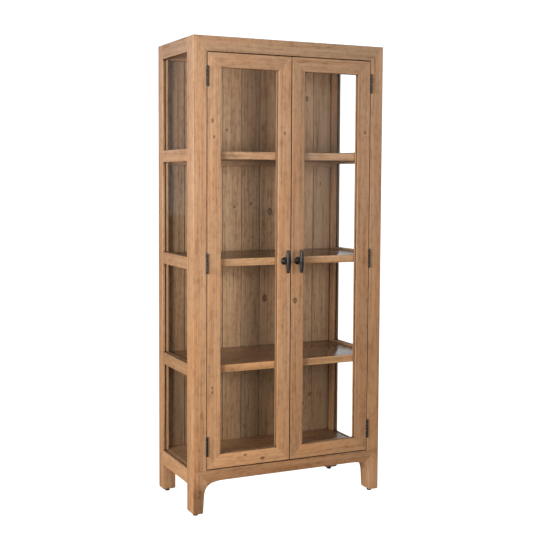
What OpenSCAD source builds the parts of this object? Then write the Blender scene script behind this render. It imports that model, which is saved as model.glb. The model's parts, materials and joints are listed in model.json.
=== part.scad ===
// Glazed pantry cabinet in reclaimed pine: two inset mitred glass doors, glazed sides, three
// fixed shelves, a boarded back and four legs on levelling feet.
// Frame: millimetres, X is the width, the doors face -Y, Z is up, and the origin is on the
// floor under the middle of the whole, pulls included. Left parts are modelled, and right
// ones mirrored.

/* [Carcass] */
// Overall width
width = 890; // [700:5:1100]
// Overall depth, without the pulls and hinge barrels
depth = 430; // [360:5:520]
// Overall height
height = 1984; // [1900:1:2200]
// Thickness of the side frames and of the front rails
frame_t = 28; // [24:1:32]
// Width of a front post across the front
post_w = 59; // [50:1:70]
// Depth of a front post on the side face
post_d = 72; // [60:1:90]
// Depth of a back post on the side face
back_post_d = 52; // [46:1:70]
// Height of the top rails
top_rail_h = 62; // [50:1:80]
// Height of a middle side rail
side_rail_h = 51; // [40:1:60]
// Height of the door opening's lower edge
opening_z = 194; // [170:1:240]

/* [Legs] */
// Height of the wooden leg ends above the floor
leg_z = 12; // [10:1:16]
// Width of a front leg at its foot
leg_w = 45; // [40:1:49]
// Width of a back leg
back_leg_w = 60; // [50:1:70]
// Height of the apron's straight underside
apron_z = 146; // [135:1:160]

/* [Panels] */
// Thickness of the top panel and of the floor panel
panel_t = 25; // [18:1:30]
// Thickness of a shelf
shelf_t = 32; // [22:1:36]
// Number of boards in the back
board_count = 9; // [7:1:12]
// Thickness of the back boards
board_t = 10; // [8:1:12]

/* [Glazing] */
// Thickness of the glass
glass_t = 4; // [3:0.5:5]
// Distance from a frame's outer face to the glass
glass_set = 12; // [8:1:14]
// Width of the rebate that holds the glass and its beads
rebate_w = 8; // [6:1:10]

/* [Doors] */
// Width of a door's stiles and rails
door_member = 59; // [50:1:65]
// Gap round each door
door_gap = 4; // [3:0.5:5]
// Distance of the outer hinges from the door's middle
hinge_offset = 763; // [600:1:780]
// Height of a hinge
hinge_h = 80; // [70:1:90]

/* [Hidden] */
$fn = 48;
LEFT = -1;
RIGHT = 1;

wood = "#b98e63";
wood_dark = "#93704f";
iron = "#2b2b2c";
steel = "#9a9a98";
clear = [0.8, 0.88, 0.88, 0.35];

// Pull
base_r = 16.5;
bar_axis = 38;                       // distance of the bar's axis from the door's face
bar_half = 49;
bar_r = 9;
stud_r = 2.5;

// Main planes
side_x = width / 2;
front_y = (bar_axis + bar_r - depth) / 2;
back_y = front_y + depth;
inner_x = side_x - frame_t;          // inner face of the side frames
inner_y = front_y + frame_t;         // back face of the front rails
post_x = side_x - post_w;            // edge of the door opening
rail_y0 = front_y + post_d;          // front end of the side rails
rail_y1 = back_y - back_post_d;      // back end of the side rails
board_y = back_y - board_t - 2;      // inner face of the back boards
back_rail_t = 20;
back_rail_y = board_y - back_rail_t;
floor_z = opening_z - panel_t;       // underside of the floor panel
ceiling_z = height - panel_t;
opening_top = height - top_rail_h;

// Side rails: number 0 is the bottom one and number 4 the top one
bottom_rail_z = 128;
bay_count = 4;
bay_z0 = opening_z - 4;
bay_h = (opening_top - bay_z0 - (bay_count - 1) * side_rail_h) / bay_count;
function bay_low(i) = bay_z0 + i * (bay_h + side_rail_h);
function bay_high(i) = bay_low(i) + bay_h;
function rail_low(i) = i == 0 ? bottom_rail_z : bay_high(i - 1);
function rail_high(i) = i == bay_count ? height : bay_low(i);
function shelf_z(i) = (rail_low(i) + rail_high(i)) / 2 - 15;
tenon_t = 12;
tenon_l = 20;
tenon_inset = 10;

// Glass lies from glass_x inwards on a side, and from glass_y inwards on a door
glass_x = side_x - glass_set;
glass_y = front_y + glass_set;
play = 0.5;

// Arch under the front: distances from the cabinet's side, and heights
arch_curve = [[130, apron_z], [75, apron_z - 3], [54, apron_z - 14], [50, apron_z - 57]];
scarf_in = 12;                       // the apron's top corner stops this far from the side
knee_w = 80;                         // width of timber that the leg's knee is cut from
knee_z = 90;

// Doors
door_x0 = post_x - door_gap;         // hinge edge
door_x1 = door_gap / 2;              // meeting edge
door_z0 = opening_z + door_gap;
door_z1 = opening_top - door_gap;
door_t = frame_t - 0.5;
door_back = front_y + door_t;
door_mid_z = (door_z0 + door_z1) / 2;
pull_x = door_x1 + door_member / 2;

// Hinges
knuckle_r = 4.2;
pin_r = 1.95;
pin_hole_r = 2;
leaf_t = (door_gap - 0.2) / 2;       // two leaves all but fill the gap
leaf_depth = 24;
axis_x = post_x - door_gap / 2;
axis_y = front_y - knuckle_r - 0.2;
knuckle_count = 5;
knuckle_gap = 0.3;
knuckle_h = (hinge_h - (knuckle_count - 1) * knuckle_gap) / knuckle_count;
hinge_heights = [for (k = [-1, 0, 1]) door_mid_z + k * hinge_offset];
screw_steps = [-26, 0, 26];
screw_head_r = 3.2;
screw_shank_r = 1.6;
screw_l = 14;
head_t = 0.9;

// Levelling feet
foot_r = 11;
stem_r = 4;
insert_r = 6.5;
insert_top = 40;
stem_top = 46;
bore_top = 60;
front_foot = [side_x - 24, front_y + post_d / 2];
back_foot = [side_x - back_leg_w / 2, back_y - back_post_d / 2];

// ---------- helpers ----------

module block(low, high) {
    translate(low) cube(high - low);
}

// Left parts are drawn as they are, right ones mirrored
module on_side(side) {
    if (side == LEFT) children();
    else mirror([1, 0, 0]) children();
}

// A drawing in X and Z, given thickness from y0 to y1
module xz_prism(y0, y1) {
    translate([0, y1, 0]) rotate([90, 0, 0]) linear_extrude(y1 - y0) children();
}

// A drawing in Y and Z, given thickness from x0 to x1
module yz_prism(x0, x1) {
    translate([x0, 0, 0]) rotate([90, 0, 90]) linear_extrude(x1 - x0) children();
}

module rod_x(x0, x1, r) {
    translate([x0, 0, 0]) rotate([0, 90, 0]) cylinder(h = x1 - x0, r = r);
}

// One member of a mitred frame that fills the rectangle from a to b; m is its width
module mitred(a, b, m, part) {
    if (part == "left") polygon([a, [a.x, b.y], [a.x + m, b.y - m], [a.x + m, a.y + m]]);
    if (part == "right") polygon([[b.x, a.y], b, [b.x - m, b.y - m], [b.x - m, a.y + m]]);
    if (part == "top") polygon([[a.x, b.y], b, [b.x - m, b.y - m], [a.x + m, b.y - m]]);
    if (part == "bottom") polygon([a, [b.x, a.y], [b.x - m, a.y + m], [a.x + m, a.y + m]]);
}

// Four mitred strips round a pane, a little apart at the mitres
module bead_ring(a, b, m) {
    gap = 0.1;
    translate([0, gap]) mitred(a, b - [0, 2 * gap], m, "left");
    translate([0, gap]) mitred(a, b - [0, 2 * gap], m, "right");
    translate([gap, 0]) mitred(a, b - [2 * gap, 0], m, "top");
    translate([gap, 0]) mitred(a, b - [2 * gap, 0], m, "bottom");
}

function bezier(p, t) =
    pow(1 - t, 3) * p[0] + 3 * t * pow(1 - t, 2) * p[1]
    + 3 * t * t * (1 - t) * p[2] + pow(t, 3) * p[3];

// The open space under the apron and between the front legs
module arch_space() {
    steps = 16;
    half = concat(
        [[side_x - leg_w, 0], [side_x - leg_w, leg_z]],
        [for (i = [steps:-1:0]) let (p = bezier(arch_curve, i / steps)) [side_x - p.x, p.y]]
    );
    polygon(concat(half, [for (i = [len(half) - 1:-1:0]) [-half[i].x, half[i].y]]));
}

// ---------- front frame ----------

module top_rail_outline() {
    polygon([
        [-side_x, height], [side_x, height],
        [post_x, opening_top], [-post_x, opening_top]
    ]);
}

module apron_outline() {
    drop = opening_z - apron_z + 28;
    polygon([
        [scarf_in - side_x, opening_z], [side_x - scarf_in, opening_z],
        [side_x - scarf_in - drop, opening_z - drop],
        [scarf_in + drop - side_x, opening_z - drop]
    ]);
}

module front_top_rail() {
    color(wood) xz_prism(front_y, inner_y) top_rail_outline();
}

module front_apron() {
    color(wood) xz_prism(front_y, inner_y) difference() {
        apron_outline();
        arch_space();
    }
}

module front_post(side) {
    color(wood) on_side(side) difference() {
        union() {
            block([-side_x, front_y, leg_z], [-post_x, rail_y0, height]);
            block([-side_x + 1, front_y, knee_z], [knee_w - side_x, inner_y, apron_z]);
        }
        xz_prism(front_y - 1, inner_y) top_rail_outline();
        xz_prism(front_y - 1, inner_y) apron_outline();
        xz_prism(front_y - 1, rail_y0 + 1) arch_space();
        side_mortises(rail_y0 - tenon_l - play, rail_y0 + 1);
        for (i = [0:bay_count - 1])
            block([-glass_x, rail_y0 - rebate_w, bay_low(i) - rebate_w],
                  [-post_x + 1, rail_y0 + 1, bay_high(i) + rebate_w]);
        screw_places() rod_x(-screw_l - play, 0, screw_shank_r);
        foot_bore(front_foot);
    }
}

// ---------- back frame ----------

module back_post(side) {
    color(wood) on_side(side) difference() {
        union() {
            block([-side_x, rail_y1, leg_z], [-inner_x, back_y, height]);
            block([-side_x, rail_y1, leg_z], [back_leg_w - side_x, back_y, floor_z]);
        }
        side_mortises(rail_y1 - 1, rail_y1 + tenon_l + play);
        for (i = [0:bay_count - 1])
            block([-glass_x, rail_y1 - 1, bay_low(i) - rebate_w],
                  [-inner_x + 1, rail_y1 + rebate_w, bay_high(i) + rebate_w]);
        foot_bore(back_foot);
    }
}

module back_top_rail() {
    color(wood) block([-inner_x, back_rail_y, opening_top], [inner_x, board_y, height]);
}

module back_bottom_rail() {
    end_x = side_x - back_leg_w;
    color(wood) block([-end_x, back_rail_y, bottom_rail_z], [end_x, board_y, floor_z]);
}

// Tongue-and-groove boards with open lines between their faces
module back_boards() {
    pitch = 2 * inner_x / board_count;
    line_w = 3;
    tongue = 6;
    third = board_t / 3;
    fit = 0.2;
    color(wood_dark)
        for (i = [0:board_count - 1])
            translate([-inner_x + i * pitch, board_y, floor_z + 1])
                linear_extrude(height - floor_z - 3) difference() {
                    union() {
                        square([pitch - line_w, board_t]);
                        translate([0, third + fit])
                            square([i < board_count - 1 ? pitch - line_w + tongue : pitch,
                                    third - 2 * fit]);
                    }
                    if (i > 0) translate([-1, third]) square([tongue - line_w + 2, third]);
                }
}

// ---------- side frames ----------

module rail_tenon_block(i, y0, y1, grow) {
    block([-side_x + 5 - grow, y0, rail_low(i) + tenon_inset - grow],
          [-side_x + 5 + tenon_t + grow, y1, rail_high(i) - tenon_inset + grow]);
}

module side_mortises(y0, y1) {
    for (i = [0:bay_count]) rail_tenon_block(i, y0, y1, 0.05);
}

module side_rail(side, i) {
    color(wood) on_side(side) difference() {
        union() {
            block([-side_x, rail_y0, rail_low(i)], [-inner_x, rail_y1, rail_high(i)]);
            rail_tenon_block(i, rail_y0 - tenon_l, rail_y1 + tenon_l, 0);
        }
        if (i < bay_count)
            block([-glass_x, rail_y0, rail_high(i) - rebate_w],
                  [-inner_x + 1, rail_y1, rail_high(i) + 1]);
        if (i > 0)
            block([-glass_x, rail_y0, rail_low(i) - 1],
                  [-inner_x + 1, rail_y1, rail_low(i) + rebate_w]);
    }
}

module side_glass(side) {
    edge = rebate_w - play;
    color(clear) on_side(side)
        for (i = [0:bay_count - 1])
            block([-glass_x, rail_y0 - edge, bay_low(i) - edge],
                  [-glass_x + glass_t, rail_y1 + edge, bay_high(i) + edge]);
}

module side_beads(side) {
    grow = [rebate_w, rebate_w];
    color(wood) on_side(side) yz_prism(-glass_x + glass_t, -inner_x)
        for (i = [0:bay_count - 1])
            bead_ring([rail_y0, bay_low(i)] - grow, [rail_y1, bay_high(i)] + grow, rebate_w);
}

// ---------- panels and shelves ----------

// A panel between the side frames, notched round the front posts
module notched_panel(y0, y1, z0, z1, clearance) {
    x = inner_x - clearance;
    difference() {
        block([-x, y0, z0], [x, y1, z1]);
        for (side = [LEFT, RIGHT]) on_side(side)
            block([-x - 1, y0 - 1, z0 - 1], [clearance - post_x, rail_y0 + clearance, z1 + 1]);
    }
}

module top_panel() {
    color(wood) notched_panel(inner_y, back_rail_y, ceiling_z, height, 0);
}

module floor_panel() {
    color(wood_dark) notched_panel(inner_y, board_y, floor_z, opening_z, 0);
}

module shelf(i) {
    color(wood) notched_panel(inner_y + 2, board_y - play, shelf_z(i), shelf_z(i) + shelf_t, play);
}

module support_cleats() {
    color(wood_dark) {
        for (i = [1:bay_count - 1]) {
            block([play - inner_x, board_y - 15, shelf_z(i) - 23],
                  [inner_x - play, board_y, shelf_z(i)]);
            for (side = [LEFT, RIGHT]) on_side(side)
                block([-inner_x, rail_y0 + 3, shelf_z(i) - 10],
                      [12 - inner_x, back_rail_y - 3, shelf_z(i)]);
        }
        block([6 - post_x, inner_y, floor_z - 20], [post_x - 6, inner_y + 15, floor_z]);
    }
}

// ---------- doors ----------

module door_member_part(part) {
    a = [-door_x0, door_z0];
    b = [-door_x1, door_z1];
    inset = [door_member - rebate_w, door_member - rebate_w];
    difference() {
        xz_prism(front_y, door_back) mitred(a, b, door_member, part);
        block([a.x + inset.x, glass_y, a.y + inset.y],
              [b.x - inset.x, door_back + 1, b.y - inset.y]);
    }
}

module hinge_stile(side) {
    color(wood) on_side(side) difference() {
        door_member_part("left");
        screw_places() rod_x(door_gap, door_gap + screw_l + play, screw_shank_r);
    }
}

module meeting_stile(side) {
    color(wood) on_side(side) difference() {
        door_member_part("right");
        translate([-pull_x, front_y + 18.5, door_mid_z]) rotate([90, 0, 0])
            cylinder(h = 20, r = stud_r + 0.05);
    }
}

module door_top_rail(side) {
    color(wood) on_side(side) difference() {
        door_member_part("top");
        strike_plate_block(0.05);
    }
}

module door_bottom_rail(side) {
    color(wood) on_side(side) door_member_part("bottom");
}

module door_glass(side) {
    inset = door_member - rebate_w + play;
    color(clear) on_side(side)
        block([inset - door_x0, glass_y, door_z0 + inset],
              [-door_x1 - inset, glass_y + glass_t, door_z1 - inset]);
}

module door_beads(side) {
    inset = [door_member - rebate_w, door_member - rebate_w];
    color(wood) on_side(side) xz_prism(glass_y + glass_t, door_back)
        bead_ring([-door_x0, door_z0] + inset, [-door_x1, door_z1] - inset, rebate_w);
}

module strike_plate_block(grow) {
    block([-60 - grow, door_back - 1, door_z1 - 19 - grow],
          [-25 + grow, door_back + grow, door_z1 - 3 + grow]);
}

module strike_plate(side) {
    color(steel) on_side(side) strike_plate_block(0);
}

// Magnetic catches behind the top rail, one for each door
module door_catches() {
    color(iron)
        for (side = [LEFT, RIGHT]) on_side(side)
            block([-58, inner_y, door_z1 - 22], [-12, inner_y + 14, opening_top + 18]);
}

// ---------- pulls ----------

module pull(side) {
    bar_profile = [
        [0, -bar_half], [4.6, -bar_half], [6, -bar_half + 1], [6.8, -bar_half + 3],
        [8.2, -24], [bar_r, 0], [8.2, 24],
        [6.8, bar_half - 3], [6, bar_half - 1], [4.6, bar_half], [0, bar_half]
    ];
    base_profile = [
        [0, 0], [base_r, 0], [base_r, 2.4], [base_r - 1.4, 4.4], [11.2, 8.5], [7.2, 13],
        [5.2, 17], [5, 22], [5, bar_axis], [0, bar_axis]
    ];
    color(iron) on_side(side) translate([-pull_x, front_y, door_mid_z]) {
        translate([0, -bar_axis, 0]) rotate_extrude() polygon(bar_profile);
        rotate([90, 0, 0]) rotate_extrude() polygon(base_profile);
        rotate([-90, 0, 0]) cylinder(h = 18, r = stud_r);
    }
}

// ---------- hinges ----------

// Places for the screws of one side's hinges: each lies along X from the post's edge
module screw_places() {
    for (z = hinge_heights, dz = screw_steps)
        translate([-post_x, front_y + (dz == 0 ? 17 : 10), z + dz]) children();
}

// The leaves' knuckles: even ones belong to the post, odd ones to the door
module leaf_set(first, x0) {
    for (z = hinge_heights) {
        difference() {
            union() {
                block([x0, front_y + 0.2, z - hinge_h / 2],
                      [x0 + leaf_t, front_y + leaf_depth, z + hinge_h / 2]);
                for (k = [first:2:knuckle_count - 1]) {
                    low = z - hinge_h / 2 + k * (knuckle_h + knuckle_gap);
                    block([x0, axis_y, low], [x0 + leaf_t, front_y + 1, low + knuckle_h]);
                    translate([-axis_x, axis_y, low]) cylinder(h = knuckle_h, r = knuckle_r);
                }
            }
            translate([-axis_x, axis_y, z - hinge_h])
                cylinder(h = 2 * hinge_h, r = pin_hole_r);
        }
    }
}

module frame_leaves(side) {
    color(iron) on_side(side) difference() {
        leaf_set(0, -post_x);
        screw_places() {
            rod_x(-1, leaf_t + 1, screw_shank_r + 0.1);
            rod_x(leaf_t - head_t, leaf_t + 1, screw_head_r + 0.1);
        }
    }
}

module door_leaves(side) {
    color(iron) on_side(side) difference() {
        leaf_set(1, -door_x0 - leaf_t);
        screw_places() {
            rod_x(door_gap - leaf_t - 1, door_gap + 1, screw_shank_r + 0.1);
            rod_x(0, door_gap - leaf_t + head_t, screw_head_r + 0.1);
        }
    }
}

module hinge_pins(side) {
    head_h = 2.4;
    color(iron) on_side(side)
        for (z = hinge_heights)
            translate([-axis_x, axis_y, z - hinge_h / 2]) {
                cylinder(h = hinge_h, r = pin_r);
                translate([0, 0, -head_h]) cylinder(h = head_h, r = knuckle_r - 0.4);
                translate([0, 0, hinge_h]) cylinder(h = head_h, r = knuckle_r - 0.4);
            }
}

module frame_screws() {
    color(steel)
        for (side = [LEFT, RIGHT]) on_side(side) screw_places() {
            rod_x(-screw_l, leaf_t, screw_shank_r);
            rod_x(leaf_t - head_t, leaf_t, screw_head_r);
        }
}

module door_screws(side) {
    color(steel) on_side(side) screw_places() {
        rod_x(door_gap - leaf_t, door_gap + screw_l, screw_shank_r);
        rod_x(door_gap - leaf_t, door_gap - leaf_t + head_t, screw_head_r);
    }
}

// ---------- feet ----------

module foot_bore(place) {
    translate([-place.x, place.y, 0]) {
        cylinder(h = insert_top, r = insert_r);
        cylinder(h = bore_top, r = stem_r + 0.6);
    }
}

module foot_inserts() {
    color(steel)
        for (side = [LEFT, RIGHT], place = [front_foot, back_foot]) on_side(side)
            translate([-place.x, place.y, leg_z]) difference() {
                cylinder(h = insert_top - leg_z, r = insert_r);
                translate([0, 0, -1]) cylinder(h = insert_top, r = stem_r + 0.05);
            }
}

module foot(side, place) {
    color(iron) on_side(side) translate([-place.x, place.y, 0]) {
        rotate_extrude() polygon([
            [0, 0], [foot_r - 1.5, 0], [foot_r, 1.5], [foot_r, 4.5],
            [foot_r - 2, 6.5], [0, 6.5]
        ]);
        translate([0, 0, 6]) cylinder(h = 4, r = 7, $fn = 6);
        cylinder(h = stem_top, r = stem_r);
    }
}

// ---------- the assembly ----------

front_post(LEFT);  // front_post_left
front_post(RIGHT);  // front_post_right
back_post(LEFT);  // back_post_left
back_post(RIGHT);  // back_post_right
front_top_rail();
front_apron();
back_top_rail();
back_bottom_rail();
side_rail(LEFT, 0);  // left_rail_bottom
side_rail(LEFT, 1);  // left_rail_lower
side_rail(LEFT, 2);  // left_rail_middle
side_rail(LEFT, 3);  // left_rail_upper
side_rail(LEFT, 4);  // left_rail_top
side_rail(RIGHT, 0);  // right_rail_bottom
side_rail(RIGHT, 1);  // right_rail_lower
side_rail(RIGHT, 2);  // right_rail_middle
side_rail(RIGHT, 3);  // right_rail_upper
side_rail(RIGHT, 4);  // right_rail_top
side_glass(LEFT);  // left_side_glass
side_glass(RIGHT);  // right_side_glass
side_beads(LEFT);  // left_glass_beads
side_beads(RIGHT);  // right_glass_beads
top_panel();
floor_panel();
shelf(1);  // shelf_lower
shelf(2);  // shelf_middle
shelf(3);  // shelf_upper
support_cleats();
back_boards();
hinge_stile(LEFT);  // left_door_hinge_stile
meeting_stile(LEFT);  // left_door_meeting_stile
door_top_rail(LEFT);  // left_door_top_rail
door_bottom_rail(LEFT);  // left_door_bottom_rail
door_glass(LEFT);  // left_door_glass
door_beads(LEFT);  // left_door_beads
pull(LEFT);  // left_pull
door_leaves(LEFT);  // left_door_leaves
door_screws(LEFT);  // left_door_screws
strike_plate(LEFT);  // left_strike_plate
hinge_stile(RIGHT);  // right_door_hinge_stile
meeting_stile(RIGHT);  // right_door_meeting_stile
door_top_rail(RIGHT);  // right_door_top_rail
door_bottom_rail(RIGHT);  // right_door_bottom_rail
door_glass(RIGHT);  // right_door_glass
door_beads(RIGHT);  // right_door_beads
pull(RIGHT);  // right_pull
door_leaves(RIGHT);  // right_door_leaves
door_screws(RIGHT);  // right_door_screws
strike_plate(RIGHT);  // right_strike_plate
frame_leaves(LEFT);  // left_frame_leaves
frame_leaves(RIGHT);  // right_frame_leaves
hinge_pins(LEFT);  // left_hinge_pins
hinge_pins(RIGHT);  // right_hinge_pins
frame_screws();
door_catches();
foot_inserts();
foot(LEFT, front_foot);  // foot_front_left
foot(RIGHT, front_foot);  // foot_front_right
foot(LEFT, back_foot);  // foot_back_left
foot(RIGHT, back_foot);  // foot_back_right
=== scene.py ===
"""Glazed pantry cabinet in reclaimed pine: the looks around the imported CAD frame.

Everything is in metres, in the frame of the CAD: X is the width, the doors face -Y, Z is up.
Wooden members are rebuilt from their CAD nodes with eased edges, and each has its own grain.
"""

import json
import math

import bmesh
import bpy
from mathutils import Matrix, Vector
from mathutils.bvhtree import BVHTree

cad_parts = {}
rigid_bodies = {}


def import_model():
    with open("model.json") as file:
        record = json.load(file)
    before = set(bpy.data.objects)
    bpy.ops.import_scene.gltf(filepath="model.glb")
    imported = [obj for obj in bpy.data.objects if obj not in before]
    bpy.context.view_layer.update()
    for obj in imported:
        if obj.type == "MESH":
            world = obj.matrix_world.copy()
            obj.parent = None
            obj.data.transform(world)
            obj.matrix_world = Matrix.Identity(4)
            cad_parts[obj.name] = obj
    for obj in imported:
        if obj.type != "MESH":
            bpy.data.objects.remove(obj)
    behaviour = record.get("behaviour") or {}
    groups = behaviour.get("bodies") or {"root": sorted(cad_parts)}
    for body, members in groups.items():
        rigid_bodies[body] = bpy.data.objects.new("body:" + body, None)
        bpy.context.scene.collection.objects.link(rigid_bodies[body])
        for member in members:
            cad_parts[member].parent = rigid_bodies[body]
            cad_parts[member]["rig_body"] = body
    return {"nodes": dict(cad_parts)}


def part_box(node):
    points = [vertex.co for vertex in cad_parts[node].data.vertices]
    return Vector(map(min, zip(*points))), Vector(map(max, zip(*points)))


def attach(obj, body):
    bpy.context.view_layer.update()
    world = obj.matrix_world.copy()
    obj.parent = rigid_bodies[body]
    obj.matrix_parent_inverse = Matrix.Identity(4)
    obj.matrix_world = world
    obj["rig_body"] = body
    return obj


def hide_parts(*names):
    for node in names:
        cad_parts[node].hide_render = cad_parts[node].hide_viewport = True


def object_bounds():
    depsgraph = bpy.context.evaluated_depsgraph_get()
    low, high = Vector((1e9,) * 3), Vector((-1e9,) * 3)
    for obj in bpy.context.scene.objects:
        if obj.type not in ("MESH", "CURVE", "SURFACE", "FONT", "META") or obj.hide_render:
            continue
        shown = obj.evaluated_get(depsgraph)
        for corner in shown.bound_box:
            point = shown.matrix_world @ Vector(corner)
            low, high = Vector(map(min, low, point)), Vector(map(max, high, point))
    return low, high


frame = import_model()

CAD_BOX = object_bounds()
NODES = frame["nodes"]
BOXES = {name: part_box(name) for name in NODES}
TREES = {name: BVHTree.FromPolygons([v.co for v in node.data.vertices],
                                    [p.vertices for p in node.data.polygons])
         for name, node in NODES.items()}
LOW, HIGH = CAD_BOX
TALL = HIGH.z - LOW.z
FRONT_Y = BOXES["front_top_rail"][0].y      # the face of the front frame
SIDES = ("left", "right")
MM = 0.001


# ---------- node graphs ----------

class Graph:
    """The node tree of one material, and short ways to add to it."""

    def __init__(self, name):
        self.material = bpy.data.materials.new(name)
        self.material.use_nodes = True
        self.tree = self.material.node_tree
        self.tree.nodes.clear()

    def put(self, socket, value):
        if isinstance(value, bpy.types.NodeSocket):
            self.tree.links.new(value, socket)
        else:
            socket.default_value = value

    def node(self, kind, *inputs, **settings):
        made = self.tree.nodes.new("ShaderNode" + kind)
        for key, value in settings.items():
            setattr(made, key, value)
        for socket, value in zip(made.inputs, inputs):
            if value is not None:
                self.put(socket, value)
        return made

    def math(self, operation, a, b=0.0, c=0.0):
        return self.node("Math", a, b, c, operation=operation).outputs[0]

    def vector(self, operation, a, b=(0.0, 0.0, 0.0)):
        made = self.node("VectorMath", a, b, operation=operation)
        return made.outputs["Value" if operation in ("LENGTH", "DISTANCE", "DOT_PRODUCT") else 0]

    def combine(self, x, y, z):
        return self.node("CombineXYZ", x, y, z).outputs[0]

    def split(self, vector):
        return self.node("SeparateXYZ", vector).outputs

    def object_place(self):
        return self.node("TexCoord").outputs["Object"]

    def normal(self):
        return self.node("NewGeometry").outputs["Normal"]

    def noise(self, vector, scale, detail=2.0, roughness=0.5):
        """Noise that changes scale times a metre: one number, or one for each axis."""
        each = scale if isinstance(scale, tuple) else (scale, scale, scale)
        place = self.vector("MULTIPLY", vector, each)
        made = self.node("TexNoise")
        self.put(made.inputs["Vector"], place)
        made.inputs["Scale"].default_value = 1.0
        made.inputs["Detail"].default_value = detail
        made.inputs["Roughness"].default_value = roughness
        return made

    def ramp(self, factor, stops, interpolation="LINEAR"):
        made = self.node("ValToRGB", factor)
        band = made.color_ramp
        band.interpolation = interpolation
        for number, (position, colour) in enumerate(stops):
            stop = band.elements[number] if number < 2 else band.elements.new(position)
            stop.position = position
            grey = isinstance(colour, float)
            stop.color = (colour, colour, colour, 1.0) if grey else (*colour, 1.0)
        return made.outputs[0]

    def span(self, value, low, high, to_low=0.0, to_high=1.0):
        """value between low and high, carried smoothly to to_low and to_high."""
        made = self.node("MapRange", value, low, high, to_low, to_high)
        made.interpolation_type = "SMOOTHSTEP"
        return made.outputs[0]

    def blend(self, factor, a, b, mode="MIX"):
        made = self.node("Mix", data_type="RGBA", blend_type=mode)
        for place, value in ((0, factor), (6, a), (7, b)):
            colour = isinstance(value, tuple) and len(value) == 3
            self.put(made.inputs[place], (*value, 1.0) if colour else value)
        return made.outputs[2]

    def edge_band(self, radius, strength=1.0):
        """0 on a flat face, rising to strength along an edge rounded to radius."""
        rounded = self.node("Bevel", radius, samples=4).outputs[0]
        turn = self.vector("DOT_PRODUCT", rounded, self.normal())
        return self.span(turn, 0.985, 0.80, 0.0, strength)

    def bump(self, height, strength, distance):
        made = self.node("Bump")
        made.inputs["Strength"].default_value = strength
        made.inputs["Distance"].default_value = distance
        self.put(made.inputs["Height"], height)
        return made.outputs[0]

    def principled(self, **values):
        shader = self.node("BsdfPrincipled")
        for label, value in values.items():
            socket = shader.inputs[label.replace("_", " ")]
            colour = isinstance(value, tuple) and len(value) == 3
            self.put(socket, (*value, 1.0) if colour else value)
        self.finish(shader)
        return shader

    def finish(self, shader):
        self.node("OutputMaterial", shader.outputs[0])


def linear(red, green, blue):
    """A screen colour, 0 to 255, as the shader's linear one."""
    def one(value):
        share = value / 255
        return share / 12.92 if share <= 0.04045 else ((share + 0.055) / 1.055) ** 2.4
    return one(red), one(green), one(blue)


def scaled(colour, share):
    return tuple(value * share for value in colour)


# ---------- pine ----------

PINE_LIGHT = linear(206, 165, 129)
PINE_MID = linear(184, 142, 107)
PINE_DARK = linear(126, 88, 60)
KNOT = linear(84, 54, 36)
CREVICE_SHADE = linear(52, 32, 22)       # painted shade, darkening gaps, joints and corners
WHITE = (1.0, 1.0, 1.0)
RUDDY_TINT = (1.05, 0.90, 0.78)
WARM_TINT = (1.0, 0.80, 0.58)
COOL_TINT = (0.72, 0.88, 1.0)
WEAR_AND_HIGHLIGHT_TONE = 1.25                 # of PINE_LIGHT, along edges: real rubbed wear with a painted highlight
FLOOR_SHADE_TINT = ((0.0, (1.0, 0.955, 0.86)), (1.0, WHITE))   # painted shade: near the floor the wood is tinted warmer and a little darker

RING = 6.5 * MM                  # distance from one growth ring to the next
LATE_WOOD = [(0.0, 0.25), (0.18, 0.0), (0.55, 0.18), (0.86, 1.0), (1.0, 0.25)]
KNOT_STRETCH = 1.5               # a knot's length along the grain over its width
KNOT_PUSH = 2.6                  # rings that a knot pushes aside

# The layers of the figure: changes a metre (across, in depth, along), detail, roughness.
SWAY = ((5.0, 5.0, 1.1), 2.0)
STREAK = ((62.0, 62.0, 1.5), 4.0, 0.68)
VEIN = ((120.0, 120.0, 3.2), 3.0, 0.7)
BROAD = ((7.0, 7.0, 1.3), 2.0)
FIBRE = ((900.0, 900.0, 16.0), 2.0)
BLOTCH = ((58.0, 58.0, 30.0), 3.0, 0.7)
SAW_MARK = ((14.0, 14.0, 260.0), 3.0, 0.7)
RUDDY = ((26.0, 26.0, 2.2), 2.0)


def knot_field(g, across, along, knots):
    """How far each knot reaches here: its dark heart, and how much it bends the rings."""
    heart, bend = None, None
    for knot_across, knot_along, size in knots:
        aside = g.math("DIVIDE", g.math("SUBTRACT", across, knot_across), size)
        ahead = g.math("DIVIDE", g.math("SUBTRACT", along, knot_along), KNOT_STRETCH * size)
        reach = g.vector("LENGTH", g.combine(aside, ahead, 0.0))
        dark = g.math("MULTIPLY", g.span(reach, 1.15, 0.8), g.span(reach, 0.15, 0.6, 0.6, 1.0))
        push = g.math("POWER", 2.718, g.math("MULTIPLY", g.math("POWER", reach, 2.0), -0.16))
        heart = dark if heart is None else g.math("MAXIMUM", heart, dark)
        bend = push if bend is None else g.math("ADD", bend, push)
    return heart, bend


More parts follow.
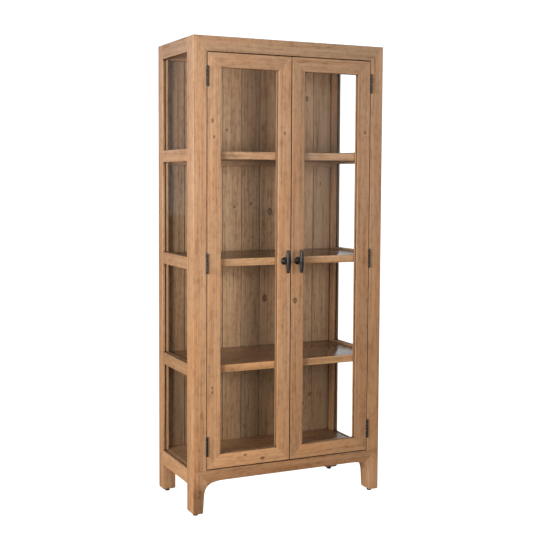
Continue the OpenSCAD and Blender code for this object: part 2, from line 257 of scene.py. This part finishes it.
def pine(name, grain, seed, tone=1.0, warm=0.0, planks=None, knots=(), saw=0.0, rough=0.52,
         contrast=0.8, stain=None, front=1.0, height_shade=FLOOR_SHADE_TINT):
    """Solid pine that is cut through in any direction. The grain runs along one axis.

    seed picks the piece of wood, and tone scales its colour. warm over 0 is redder, and under 0
    greyer. planks is (axis number, start, width) for a panel glued up from strips. Each knot is
    (place across, place along, radius) on a front face. saw is the strength of the saw marks,
    and contrast that of the figure. stain is (height where it is full, height where
    it ends, strength, tint, tone) of a colour low down on a front face: a darker one is a real
    stain, and a lighter one is painted light. front scales the colour of the faces that look
    forward, which paints light on them, as on the shelves' edges. height_shade is a list of
    (share of the height, tint): painted shade by height.
    """
    g = Graph(name)
    x, y, z = g.split(g.object_place())
    across, depth, along = {"Z": (x, y, z), "X": (z, y, x), "Y": (z, x, y)}[grain]
    offset = (0.37 * seed % 1.7, 0.61 * seed % 2.3, 1.93 * seed % 5.1)
    board = g.vector("ADD", g.combine(across, depth, along), offset)
    strip = None
    if planks:
        axis, start, width = planks
        number = g.math("FLOOR", g.math("DIVIDE", g.math("SUBTRACT", (x, y, z)[axis], start),
                                        width))
        strip = g.node("TexWhiteNoise", None, g.math("ADD", number, float(seed)),
                       noise_dimensions="1D")
        shift = g.vector("MULTIPLY", strip.outputs["Color"], (0.9, 0.5, 3.0))
        board = g.vector("ADD", board, shift)

    # Growth rings round the pith, which lies away from the member, pushed aside by its knots.
    sway = g.noise(board, *SWAY).outputs["Color"]
    bent = g.vector("ADD", board, g.vector("MULTIPLY", sway, (0.03, 0.03, 0.0)))
    pith = (offset[0] + 0.16 * math.cos(seed * 2.1), offset[1] + 0.17 + 0.05 * math.sin(seed),
            0.0)
    from_pith = g.vector("DISTANCE", g.vector("MULTIPLY", bent, (1.0, 1.0, 0.0)), pith)
    rings = g.math("DIVIDE", from_pith, RING)
    heart, bend = knot_field(g, across, along, knots)
    if bend is not None:
        rings = g.math("ADD", rings, g.math("MULTIPLY", bend, KNOT_PUSH))
    late = g.ramp(g.math("FRACT", rings), LATE_WOOD, "EASE")

    # Each layer darkens the wood by up to its share, from its low value to its high one.
    streak = g.noise(board, *STREAK).outputs[0]
    vein = g.noise(bent, *VEIN).outputs[0]
    broad = g.noise(board, *BROAD).outputs[0]
    fibre = g.noise(board, *FIBRE).outputs[0]
    blotch = g.noise(board, *BLOTCH).outputs[0]
    shade = g.math("MULTIPLY", late, 0.14 * contrast)
    for layer, low, high, share in ((streak, 0.38, 0.62, 0.26), (broad, 0.36, 0.64, 0.12),
                                    (vein, 0.46, 0.64, 0.34), (fibre, 0.3, 0.75, 0.10),
                                    (blotch, 0.46, 0.62, 0.26)):
        shade = g.math("ADD", shade, g.span(layer, low, high, 0.0, share * contrast))
    if strip is not None:
        shade = g.math("ADD", shade, g.math("MULTIPLY", strip.outputs["Value"], 0.20))
    marks = None
    if saw:
        marks = g.span(g.noise(board, *SAW_MARK).outputs[0], 0.5, 0.66, 0.0, saw)
        shade = g.math("ADD", shade, marks)

    colour = g.ramp(shade, [(0.0, scaled(PINE_LIGHT, tone)), (0.46, scaled(PINE_MID, tone)),
                            (1.0, scaled(PINE_DARK, tone))])
    ruddy = g.span(g.noise(board, *RUDDY).outputs[0], 0.42, 0.66, 0.0, 0.55)
    colour = g.blend(ruddy, colour, RUDDY_TINT, "MULTIPLY")
    # Painted shade by height: the colour is tinted by height, warmer and darker low down.
    height = g.span(z, LOW.z + 0.1 * TALL, HIGH.z)
    colour = g.blend(1.0, colour, g.ramp(height, height_shade), "MULTIPLY")
    if warm:
        tint = WARM_TINT if warm > 0 else COOL_TINT
        colour = g.blend(abs(warm), colour, tint, "MULTIPLY")
    if heart is not None:
        colour = g.blend(g.math("MULTIPLY", heart, 0.78), colour, scaled(KNOT, tone))
    if stain or front != 1.0:
        forward = g.span(g.split(g.normal())[1], -0.5, -0.9)
    # Painted light: the faces that look forward get their own brightness, lighter than the rest,
    # as on the shelves' edges.
    if front != 1.0:
        colour = g.blend(forward, colour, (front, front, front), "MULTIPLY")
    # A darker tint here is a real stain. A lighter one, as on the right front post, is painted
    # light.
    if stain:
        full, none, strength, tint, tint_tone = stain
        reach = g.span(z, none, full, 0.0, strength)
        colour = g.blend(g.math("MULTIPLY", forward, reach), colour,
                         scaled(tint, tint_tone * tone))
    # Lighter along the edges: partly real rubbed wear, partly a painted highlight where the
    # arrises catch the light.
    wear_and_highlight = g.math("MULTIPLY", g.edge_band(2.6 * MM), g.span(blotch, 0.34, 0.6, 0.35, 0.8))
    colour = g.blend(wear_and_highlight, colour, scaled(PINE_LIGHT, WEAR_AND_HIGHLIGHT_TONE * tone))

    # Painted shade: the colour darkens to a dark brown in gaps, joints and corners that the
    # ambient occlusion finds close in.
    open_air = g.node("AmbientOcclusion", samples=6)
    open_air.inputs["Distance"].default_value = 10 * MM
    crevice_shade = g.span(open_air.outputs["AO"], 0.62, 0.34, 0.0, 0.96)
    colour = g.blend(crevice_shade, colour, scaled(CREVICE_SHADE, tone))

    relief = g.math("MULTIPLY_ADD", fibre, 0.5, g.math("MULTIPLY", late, 0.35))
    relief = g.math("MULTIPLY_ADD", streak, 0.5, relief)
    if marks is not None:
        relief = g.math("SUBTRACT", relief, g.math("MULTIPLY", marks, 3.0))
    g.principled(Base_Color=colour, Specular_IOR_Level=0.35,
                 Roughness=g.span(shade, 0.0, 1.0, rough - 0.07, rough + 0.13),
                 Normal=g.bump(relief, 0.35, 0.7 * MM))
    return g.material


# ---------- other finishes ----------

def iron(name, seed):
    """Blackened cast iron, lightly hammered and rubbed along its edges."""
    g = Graph(name)
    place = g.vector("ADD", g.object_place(), (0.3 * seed, 0.0, 0.0))
    dents = g.node("TexVoronoi", feature="SMOOTH_F1")
    g.put(dents.inputs["Vector"], place)
    dents.inputs["Scale"].default_value = 190.0
    grit = g.noise(place, 900.0, 3.0).outputs[0]
    cloud = g.noise(place, 60.0).outputs[0]
    colour = g.ramp(cloud, [(0.3, linear(30, 30, 31)), (0.7, linear(50, 49, 48))])
    colour = g.blend(g.edge_band(1.2 * MM, 0.5), colour, linear(92, 88, 84))
    relief = g.math("MULTIPLY_ADD", grit, 0.25, dents.outputs["Distance"])
    g.principled(Base_Color=colour, Metallic=0.65, Roughness=g.span(cloud, 0.3, 0.7, 0.30, 0.44),
                 Normal=g.bump(relief, 0.3, 0.4 * MM))
    return g.material


def steel(name):
    """Zinc-plated steel with a fine cloudy grain."""
    g = Graph(name)
    cloud = g.noise(g.object_place(), 240.0, 3.0).outputs[0]
    colour = g.ramp(cloud, [(0.3, linear(128, 126, 122)), (0.7, linear(176, 173, 168))])
    g.principled(Base_Color=colour, Metallic=1.0, Roughness=g.span(cloud, 0.3, 0.7, 0.28, 0.44),
                 Normal=g.bump(cloud, 0.15, 0.2 * MM))
    return g.material


def plastic(name, shade):
    """Moulded plastic with a fine spark-eroded grain."""
    g = Graph(name)
    grain = g.noise(g.object_place(), 1600.0).outputs[0]
    colour = g.ramp(grain, [(0.3, shade), (0.75, scaled(shade, 1.35))])
    g.principled(Base_Color=colour, Roughness=g.span(grain, 0.3, 0.7, 0.4, 0.58),
                 Normal=g.bump(grain, 0.25, 0.15 * MM))
    return g.material


def glass(name):
    """Thin clear glass: it lets light straight through and mirrors more at a low angle."""
    g = Graph(name)
    smear = g.noise(g.object_place(), (9.0, 9.0, 6.0)).outputs[0]
    clear = g.node("BsdfTransparent")
    clear.inputs[0].default_value = (0.985, 0.992, 0.988, 1.0)
    mirror = g.node("BsdfGlossy")
    mirror.inputs["Color"].default_value = (*WHITE, 1.0)
    g.put(mirror.inputs["Roughness"], g.span(smear, 0.4, 0.7, 0.0, 0.03))
    grazing = g.math("POWER", g.node("LayerWeight").outputs["Facing"], 5.0)
    mirrored = g.math("MULTIPLY_ADD", grazing, 0.12, 0.004)
    g.finish(g.node("MixShader", mirrored, clear.outputs[0], mirror.outputs[0]))
    return g.material


# ---------- meshes ----------

WELD = 2e-6                      # metres: closer corners are one corner
CREASE = math.radians(25)        # a sharper turn between faces is an edge
CONTACT = 0.4 * MM               # a face nearer than this to another node touches it
JOINT_EASE = 0.22                # a joint's edge is eased this much of an open edge
SHORTEST = 3 * MM                # shorter edges, such as those round a bore, stay sharp


def body_of(node):
    return NODES[node]["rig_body"]


def clean_mesh(node):
    """The CAD node's mesh with its triangles joined back into whole faces."""
    bm = bmesh.new()
    bm.from_mesh(NODES[node].data)
    bmesh.ops.remove_doubles(bm, verts=bm.verts, dist=WELD)
    bmesh.ops.dissolve_limit(bm, angle_limit=math.radians(0.5), verts=bm.verts, edges=bm.edges)
    bmesh.ops.recalc_face_normals(bm, faces=bm.faces)
    return bm


def islands(bm):
    """The separate solids in a mesh, as lists of faces."""
    left, found = set(bm.faces), []
    while left:
        island, waiting = [], [min(left, key=lambda face: face.index)]
        left.discard(waiting[0])
        while waiting:
            face = waiting.pop()
            island.append(face)
            for edge in face.edges:
                for other in edge.link_faces:
                    if other in left:
                        left.discard(other)
                        waiting.append(other)
        found.append(island)
    return found


def covered_faces(bm, own):
    """Faces of bm that lie mostly against another node, such as those inside a joint."""
    low = [min(v.co[i] for v in bm.verts) - CONTACT for i in range(3)]
    high = [max(v.co[i] for v in bm.verts) + CONTACT for i in range(3)]
    trees = []
    for name, tree in TREES.items():
        other_low, other_high = BOXES[name]
        meets = all(other_low[i] < high[i] and other_high[i] > low[i] for i in range(3))
        if name != own and meets:
            trees.append(tree)
    areas = {}
    for a, b, c in bm.calc_loop_triangles():
        corners = [a.vert.co, b.vert.co, c.vert.co]
        area = (corners[1] - corners[0]).cross(corners[2] - corners[0]).length
        point = (corners[0] + corners[1] + corners[2]) / 3 + a.face.normal * CONTACT / 2
        touching = any(tree.find_nearest(point, CONTACT)[0] is not None for tree in trees)
        total, cover = areas.get(a.face, (0.0, 0.0))
        areas[a.face] = (total + area, cover + area * touching)
    return {face for face, (total, cover) in areas.items() if cover > 0.6 * total}


def weigh_edges(bm, own, share=1.0):
    """Marks which edges the bevel rounds: open ones fully, and those at a joint slightly.

    Where share is under 1, the edges round the underside are rounded fully and others by share.
    An edge that isn't rounded is kept sharp.
    """
    layer = bm.edges.layers.float.new("bevel_weight_edge")
    hidden = covered_faces(bm, own)
    ground = min(v.co.z for v in bm.verts) + MM
    for edge in bm.edges:
        if len(edge.link_faces) != 2 or edge.calc_face_angle() < CREASE:
            continue
        if edge.calc_length() > SHORTEST and edge.is_convex:
            inside = sum(face in hidden for face in edge.link_faces)
            edge[layer] = (share, share * JOINT_EASE, 0.0)[inside]
            if share < 1.0 and max(v.co.z for v in edge.verts) < ground:
                edge[layer] = 1.0
        edge.smooth = edge[layer] > 0.0


def add_piece(name, bm, body, material, replaced=()):
    mesh = bpy.data.meshes.new(name)
    bm.to_mesh(mesh)
    bm.free()
    piece = bpy.data.objects.new(name, mesh)
    bpy.context.scene.collection.objects.link(piece)
    mesh.materials.append(material)
    mesh.polygons.foreach_set("use_smooth", [True] * len(mesh.polygons))
    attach(piece, body)
    if replaced:
        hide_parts(*replaced)
    return piece


def ease(piece, width, segments=3):
    bevel = piece.modifiers.new("eased edges", "BEVEL")
    bevel.width = width
    bevel.segments = segments
    bevel.limit_method = "WEIGHT"
    bevel.use_clamp_overlap = False
    bevel.harden_normals = True


def lathe(bm, profile, spin, matrix):
    """Turns (radius, height) points round Z in spin steps and places the result."""
    angles = [2 * math.pi * step / spin for step in range(spin)]
    rings = []
    for radius, height in profile:
        points = [(radius * math.cos(a), radius * math.sin(a), height) for a in angles]
        if radius < 1e-7:
            points = [(0, 0, height)]
        rings.append([bm.verts.new(matrix @ Vector(point)) for point in points])
    for low, high in zip(rings, rings[1:]):
        for step in range(max(len(low), len(high))):
            after = (step + 1) % spin
            if len(low) == 1:
                corners = [low[0], high[after], high[step]]
            elif len(high) == 1:
                corners = [low[step], low[after], high[0]]
            else:
                corners = [low[step], low[after], high[after], high[step]]
            bm.faces.new(corners)


# ---------- the cabinet's wood ----------

FRONT_KNOTS = {                  # (across, along, radius) on the front face
    "front_post_left": [(-0.415, 0.104, 6 * MM), (-0.418, 0.085, 4 * MM)],
    "left_door_hinge_stile": [(-0.361, 1.642, 6 * MM), (-0.353, 1.576, 5 * MM),
                              (-0.361, 0.541, 4 * MM), (-0.361, 0.522, 4 * MM)],
    "left_door_meeting_stile": [(-0.033, 1.598, 5 * MM)],
    "right_door_meeting_stile": [(0.021, 0.887, 9 * MM)],
    "right_door_hinge_stile": [(0.358, 1.609, 5 * MM)],
    "left_door_bottom_rail": [(0.241, -0.210, 5 * MM), (0.219, -0.130, 7 * MM)],
}
BACK_KNOTS = [(0.072, 0.848, 12 * MM), (-0.122, 1.626, 5 * MM), (-0.083, 1.278, 6 * MM),
              (0.001, 1.290, 6 * MM), (0.097, 1.253, 12 * MM), (0.287, 1.781, 9 * MM),
              (0.361, 1.381, 6 * MM), (0.314, 0.372, 7 * MM), (0.276, 0.331, 6 * MM)]
DOOR_TONE = {                    # hinge stile, meeting stile, top rail, bottom rail
    "left": (1.05, 0.98, 0.97, 1.09),
    "right": (0.81, 0.86, 0.92, 0.92),
}
BACK_POST_TONE_AND_SHADE = (0.93, 0.74)                                         # left, right: the right one is darker, painted shade of its face inside the cabinet
RAIL_TONE = (1.14, 0.83, 0.85, 1.02, 0.80)                            # from the floor up
BACK_TONE = (1.04, 1.10, 1.08, 1.16, 0.95, 1.30, 0.94, 0.96, 0.84)    # board by board
SHELF_TOP_SHADE = (0.66, 0.40, 0.55)  # lower, middle, upper: painted shade, the tops are darker than the edges
# Painted light: the shelves' front edges are lighter than their tops.
SHELF_EDGE_LIGHT = 1.2
BACK_LOW_SHADE = ((0.0, (0.62, 0.60, 0.56)), (0.32, WHITE))    # painted shade of the lower bay: the back boards are darker low down
EDGE = 1.8 * MM                  # width of an eased edge on most members
FRAME_EDGE = 2.4 * MM            # on the front frame
BEAD_EDGE = 1.0 * MM             # on the glazing beads
LEG = {"width": 7 * MM, "share": 0.34}                # the legs' undersides are worn round
STRIP = 96 * MM                  # width of the strips that a panel is glued up from


def timber(node, grain, seed, width=EDGE, slot="pine", share=1.0, **look):
    """A wooden member in the shape of its CAD node, with eased edges and its own grain."""
    material = pine("pine_" + node, grain, seed, knots=FRONT_KNOTS.get(node, ()), **look)
    bm = clean_mesh(node)
    weigh_edges(bm, node, share)
    ease(add_piece("wood_" + node, bm, body_of(node), material, [node]), width)


def front_and_sides():
    timber("front_post_left", "Z", 1, tone=1.02, stain=(0.09, 0.17, 0.55, PINE_DARK, 0.62), **LEG)
    # Painted light: the foot of this post's front face is painted lighter.
    timber("front_post_right", "Z", 2, tone=0.91, stain=(0.07, 0.2, 0.8, PINE_MID, 1.45), **LEG)
    timber("front_top_rail", "X", 3, width=FRAME_EDGE, tone=0.96, warm=-0.35, saw=0.22)
    timber("front_apron", "X", 4, width=FRAME_EDGE, tone=0.80, warm=0.12)
    for number, side in enumerate(SIDES):
        # Painted shade: the right back post is made darker.
        timber(f"back_post_{side}", "Z", 5 + number, tone=BACK_POST_TONE_AND_SHADE[number], **LEG)
        for level, part in enumerate(("bottom", "lower", "middle", "upper", "top")):
            timber(f"{side}_rail_{part}", "Y", 8 + 5 * number + level, tone=RAIL_TONE[level],
                   warm=-0.2 if part == "top" else 0.0)
        timber(f"{side}_glass_beads", "Z", 20 + number, width=BEAD_EDGE)
        hinge, meeting, top, bottom = DOOR_TONE[side]
        timber(f"{side}_door_hinge_stile", "Z", 22 + number, tone=hinge)
        timber(f"{side}_door_meeting_stile", "Z", 24 + number, tone=meeting)
        timber(f"{side}_door_top_rail", "X", 26 + number, tone=top)
        timber(f"{side}_door_bottom_rail", "X", 28 + number, tone=bottom, warm=0.15)
        timber(f"{side}_door_beads", "Z", 30 + number, width=BEAD_EDGE)


def panels():
    strips = (1, BOXES["floor_panel"][0].y, STRIP)
    for level, part in enumerate(("lower", "middle", "upper")):
        # Painted shade on the shelves' tops, and painted light on their front edges.
        tone = SHELF_TOP_SHADE[level]
        timber(f"shelf_{part}", "X", 40 + level, tone=tone, planks=strips, rough=0.20,
               front=SHELF_EDGE_LIGHT / tone)
    timber("floor_panel", "X", 43, tone=0.76, planks=strips, slot="pine_inside", rough=0.32)
    timber("top_panel", "X", 44, planks=strips)
    timber("back_top_rail", "X", 45)
    timber("back_bottom_rail", "X", 46)
    timber("support_cleats", "X", 47, width=1.2 * MM, slot="pine_inside", tone=0.9)


def back_boards():
    """One piece for each tongue-and-groove board, every one from a different plank."""
    whole = clean_mesh("back_boards")
    whole.faces.index_update()
    solids = islands(whole)
    solids.sort(key=lambda solid: sum(f.calc_center_median().x for f in solid) / len(solid))
    half_board = (HIGH.x - LOW.x) / 2 / len(solids)
    for number, solid in enumerate(solids):
        bm = bmesh.new()
        made = {}
        for face in solid:
            for vert in face.verts:
                if vert not in made:
                    made[vert] = bm.verts.new(vert.co)
            bm.faces.new([made[vert] for vert in face.verts])
        middle = sum(vert.co.x for vert in bm.verts) / len(bm.verts)
        bmesh.ops.recalc_face_normals(bm, faces=bm.faces)
        weigh_edges(bm, "back_boards")
        # Painted shade: the boards are darker towards the bottom.
        look = pine(f"pine_back_board_{number + 1}", "Z", 50 + number, tone=BACK_TONE[number],
                    warm=-0.45, contrast=0.9, height_shade=BACK_LOW_SHADE,
                    knots=[knot for knot in BACK_KNOTS if abs(knot[0] - middle) < half_board])
        ease(add_piece(f"back_board_{number + 1}", bm, body_of("back_boards"), look,
                       ["back_boards"]), 1.2 * MM, 2)
    whole.free()


# ---------- ironwork ----------

PULL_R = 9 * MM                  # the middle of a pull's bar, which tapers to blunt ends
STEM_R = 5 * MM
PIN_R = 1.95 * MM
PIN_HEAD = 2.4 * MM              # height of the dome on each end of a hinge pin


def smooth_profile(points, steps=5):
    """A rounded line through (radius, height) points."""
    found = []
    last = len(points) - 1
    for i in range(last):
        near = (points[max(i - 1, 0)], points[i], points[i + 1], points[min(i + 2, last)])
        for step in range(steps):
            t = step / steps
            weights = ((-t + 2 * t * t - t ** 3) / 2, (2 - 5 * t * t + 3 * t ** 3) / 2,
                       (t + 4 * t * t - 3 * t ** 3) / 2, (-t * t + t ** 3) / 2)
            radius, height = (sum(w * p[k] for w, p in zip(weights, near)) for k in (0, 1))
            found.append((max(0.0, radius), height))
    return found + [points[-1]]


def pull(side, finish):
    """A turned bar on a stem, with a conical rosette against the door."""
    low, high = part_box(f"{side}_pull")
    middle = (low + high) / 2
    half = (high.z - low.z) / 2
    base_r = (high.x - low.x) / 2
    bar_y = low.y + PULL_R
    reach = FRONT_Y - bar_y
    bm = bmesh.new()
    bar = [(0.0, -half), (3.4 * MM, -half), (5.6 * MM, -half + 0.6 * MM),
           (6.6 * MM, -half + 2.6 * MM), (7.0 * MM, -half + 6 * MM), (8.2 * MM, -0.5 * half),
           (8.8 * MM, -0.2 * half), (PULL_R, 0.0)]
    bar += [(radius, -height) for radius, height in reversed(bar[:-1])]
    lathe(bm, smooth_profile(bar), 32, Matrix.Translation((middle.x, bar_y, middle.z)))
    rosette = [(0.0, 0.0), (base_r - 0.4 * MM, 0.0), (base_r, 0.6 * MM), (base_r, 2.0 * MM),
               (base_r - 0.8 * MM, 3.1 * MM), (base_r - 2.1 * MM, 4.0 * MM),
               (base_r - 2.5 * MM, 4.9 * MM), (11.6 * MM, 8.0 * MM), (8.6 * MM, 11.5 * MM),
               (6.2 * MM, 15.0 * MM), (5.1 * MM, 18.0 * MM), (STEM_R, 24.0 * MM),
               (5.8 * MM, 29.5 * MM), (6.2 * MM, reach), (0.0, reach)]
    lathe(bm, rosette, 32, Matrix.Translation((middle.x, FRONT_Y, middle.z))
          @ Matrix.Rotation(math.pi / 2, 4, "X"))
    bmesh.ops.recalc_face_normals(bm, faces=bm.faces)
    return add_piece(f"{side}_pull_casting", bm, f"{side}_door", finish,
                     [f"{side}_pull"])


def hinge_pins(side, finish):
    """Three loose pins, each with a domed head above and below its knuckles."""
    bm = clean_mesh(f"{side}_hinge_pins")
    low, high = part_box(f"{side}_hinge_pins")
    pins = [[v.co.z for face in solid for v in face.verts] for solid in islands(bm)]
    bm.free()
    middle = (low + high) / 2
    head_r = (high.x - low.x) / 2
    dome = [(head_r * math.sin(a), -PIN_HEAD * math.cos(a)) for a in
            [math.pi / 2 * step / 6 for step in range(7)]]
    made = bmesh.new()
    for heights in pins:
        under, over = min(heights) + PIN_HEAD, max(heights) - PIN_HEAD
        line = [(radius, under + drop) for radius, drop in dome]
        line += [(PIN_R, under), (PIN_R, over)]
        line += [(radius, over - drop) for radius, drop in reversed(dome)]
        lathe(made, line, 28, Matrix.Translation((middle.x, middle.y, 0.0)))
    bmesh.ops.recalc_face_normals(made, faces=made.faces)
    return add_piece(f"{side}_hinge_pin_set", made, body_of(f"{side}_hinge_pins"), finish,
                     [f"{side}_hinge_pins"])


def dress_node(node, finish, bevel=0.0):
    """A CAD node that stays, with its finish and, if asked, slightly rounded edges."""
    thing = NODES[node]
    thing.data.materials.clear()
    thing.data.materials.append(finish)
    if bevel:
        weld = thing.modifiers.new("weld", "WELD")
        weld.merge_threshold = WELD
        rounding = thing.modifiers.new("rounding", "BEVEL")
        rounding.width = bevel
        rounding.segments = 2
        rounding.limit_method = "ANGLE"
        rounding.angle_limit = math.radians(40)


def hardware():
    pull_iron = iron("iron_pulls", 1)
    hinge_iron = iron("iron_hinges", 2)
    zinc = steel("zinc_steel")
    pane = glass("clear_glass")
    for side in SIDES:
        pull(side, pull_iron)
        hinge_pins(side, hinge_iron)
        dress_node(f"{side}_door_leaves", hinge_iron, 0.25 * MM)
        dress_node(f"{side}_frame_leaves", hinge_iron, 0.25 * MM)
        dress_node(f"{side}_door_screws", zinc)
        dress_node(f"{side}_strike_plate", zinc, 0.3 * MM)
        dress_node(f"{side}_door_glass", pane)
        dress_node(f"{side}_side_glass", pane)
        for end in ("front", "back"):
            sole = plastic(f"plastic_foot_{end}_{side}", linear(40, 38, 36))
            dress_node(f"foot_{end}_{side}", sole, 0.3 * MM)
    dress_node("frame_screws", zinc)
    dress_node("foot_inserts", zinc)
    dress_node("door_catches", plastic("plastic_catch", linear(58, 52, 46)),
               0.6 * MM)


# ---------- studio ----------

LIGHTS = {                       # degrees to the right of straight in front, watts
    "key": (-50, 108.0),
    "window": (-70, 97.0),
    "fill": (-10, 48.0),
    "lift": (30, 7.0),
}
LIGHT_REACH = 4.6                # metres from the cabinet's middle to each light
LIGHT_Z = 1.45
LIGHT_TARGET = (0.0, 0.0, 1.0)
LIGHT_SIZE = (1.0, 1.4)          # width, height
FLOOR_SIZE = 30.0
CAMERA_PLACE = (-1.9049, FRONT_Y - 3.8248, 1.4187)
YAW, PITCH, ROLL = math.radians(25.073), math.radians(-3.927), math.radians(0.287)


def soft_light(name, side_on, watts):
    lamp = bpy.data.lights.new(name, "AREA")
    lamp.shape = "RECTANGLE"
    lamp.size, lamp.size_y = LIGHT_SIZE
    lamp.energy = watts
    thing = bpy.data.objects.new(name, lamp)
    bpy.context.scene.collection.objects.link(thing)
    turn = math.radians(side_on)
    thing.location = (LIGHT_REACH * math.sin(turn), -LIGHT_REACH * math.cos(turn), LIGHT_Z)
    ahead = Vector(LIGHT_TARGET) - thing.location
    thing.rotation_euler = ahead.to_track_quat("-Z", "Y").to_euler()


def by_ray(tree, seen, felt, gleam):
    """A number for the camera, one for soft bounced light and one for reflections."""
    path = tree.nodes.new("ShaderNodeLightPath")
    bounced = tree.nodes.new("ShaderNodeMapRange")
    bounced.inputs["To Min"].default_value = felt
    bounced.inputs["To Max"].default_value = gleam
    tree.links.new(path.outputs["Is Glossy Ray"], bounced.inputs["Value"])
    choice = tree.nodes.new("ShaderNodeMapRange")
    choice.inputs["To Max"].default_value = seen
    tree.links.new(bounced.outputs[0], choice.inputs["To Min"])
    tree.links.new(path.outputs["Is Camera Ray"], choice.inputs["Value"])
    return choice.outputs[0]


def floor():
    """A wide floor that looks as white as the backdrop and sends back warm light."""
    bm = bmesh.new()
    bmesh.ops.create_grid(bm, x_segments=1, y_segments=1, size=FLOOR_SIZE)
    mesh = bpy.data.meshes.new("floor")
    bm.to_mesh(mesh)
    bm.free()
    ground = bpy.data.objects.new("floor", mesh)
    bpy.context.scene.collection.objects.link(ground)
    ground.location.z = -0.5 * MM
    g = Graph("floor_white")
    matte = g.principled(Base_Color=(0.42, 0.34, 0.26), Roughness=0.9, Specular_IOR_Level=0.0,
                         Emission_Color=WHITE)
    g.put(matte.inputs["Emission Strength"], by_ray(g.tree, 1.15, 0.0, 0.0))
    mesh.materials.append(g.material)


def world():
    """A backdrop that the camera sees as pure white. It lights the cabinet only a little."""
    sky = bpy.data.worlds.new("studio")
    bpy.context.scene.world = sky
    sky.use_nodes = True
    tree = sky.node_tree
    tree.nodes.clear()
    background = tree.nodes.new("ShaderNodeBackground")
    background.inputs["Color"].default_value = (0.96, 0.98, 1.0, 1.0)
    tree.links.new(by_ray(tree, 1.3, 0.10, 1.0), background.inputs["Strength"])
    out = tree.nodes.new("ShaderNodeOutputWorld")
    tree.links.new(background.outputs[0], out.inputs["Surface"])


def camera():
    data = bpy.data.cameras.new("camera")
    data.sensor_width = 36.0
    data.lens = 67.96
    data.shift_y = -0.0405
    data.clip_end = 100.0
    eye = bpy.data.objects.new("camera", data)
    bpy.context.scene.collection.objects.link(eye)
    forward = Vector((math.sin(YAW) * math.cos(PITCH), math.cos(YAW) * math.cos(PITCH),
                      math.sin(PITCH)))
    level = Vector((math.cos(YAW), -math.sin(YAW), 0.0))
    upward = level.cross(forward)
    right = level * math.cos(ROLL) + upward * math.sin(ROLL)
    up = upward * math.cos(ROLL) - level * math.sin(ROLL)
    turn = Matrix((right, up, -forward)).transposed().to_4x4()
    eye.matrix_world = Matrix.Translation(CAMERA_PLACE) @ turn
    bpy.context.scene.camera = eye


front_and_sides()
panels()
back_boards()
hardware()
floor()
world()
camera()
for light, (side_on, watts) in LIGHTS.items():
    soft_light(light, side_on, watts)
bpy.context.scene.view_settings.view_transform = "Standard"
